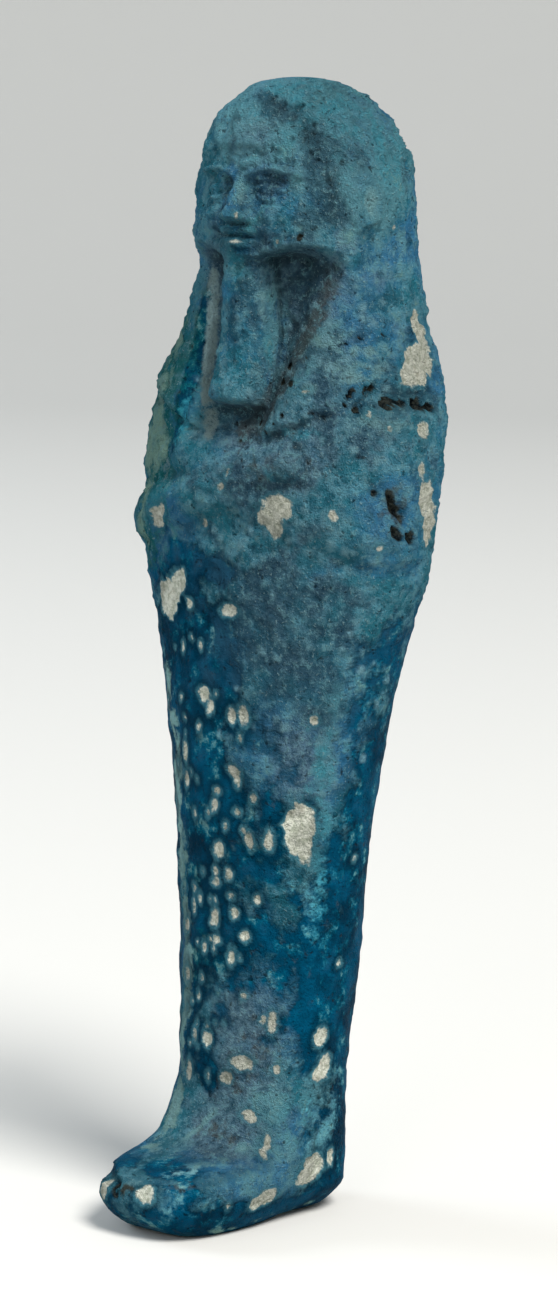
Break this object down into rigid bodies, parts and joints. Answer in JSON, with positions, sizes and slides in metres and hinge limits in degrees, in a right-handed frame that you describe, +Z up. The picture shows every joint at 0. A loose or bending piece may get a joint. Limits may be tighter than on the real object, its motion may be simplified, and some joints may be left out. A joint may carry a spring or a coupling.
{
  "type": "ushabti figurine",
  "caption": "Small mummy-shaped tomb figure with wig, straight beard, crossed arms and projecting feet, standing on a flat sole.",
  "frame": {"origin": "centre of the bounding box's bottom face, on the flat sole", "axes": "+Z up from the sole to the crown; the figure faces -Y, and its own left side is +X"},
  "size_m": [0.0364, 0.037, 0.12],
  "materials": {
    "glazed_faience": "weathered blue-green alkaline glaze, matt and granular, with cream body showing where it has flaked"
  },
  "bodies": {
    "root": {"ushabti": "glazed_faience"}
  },
  "joints": []
}
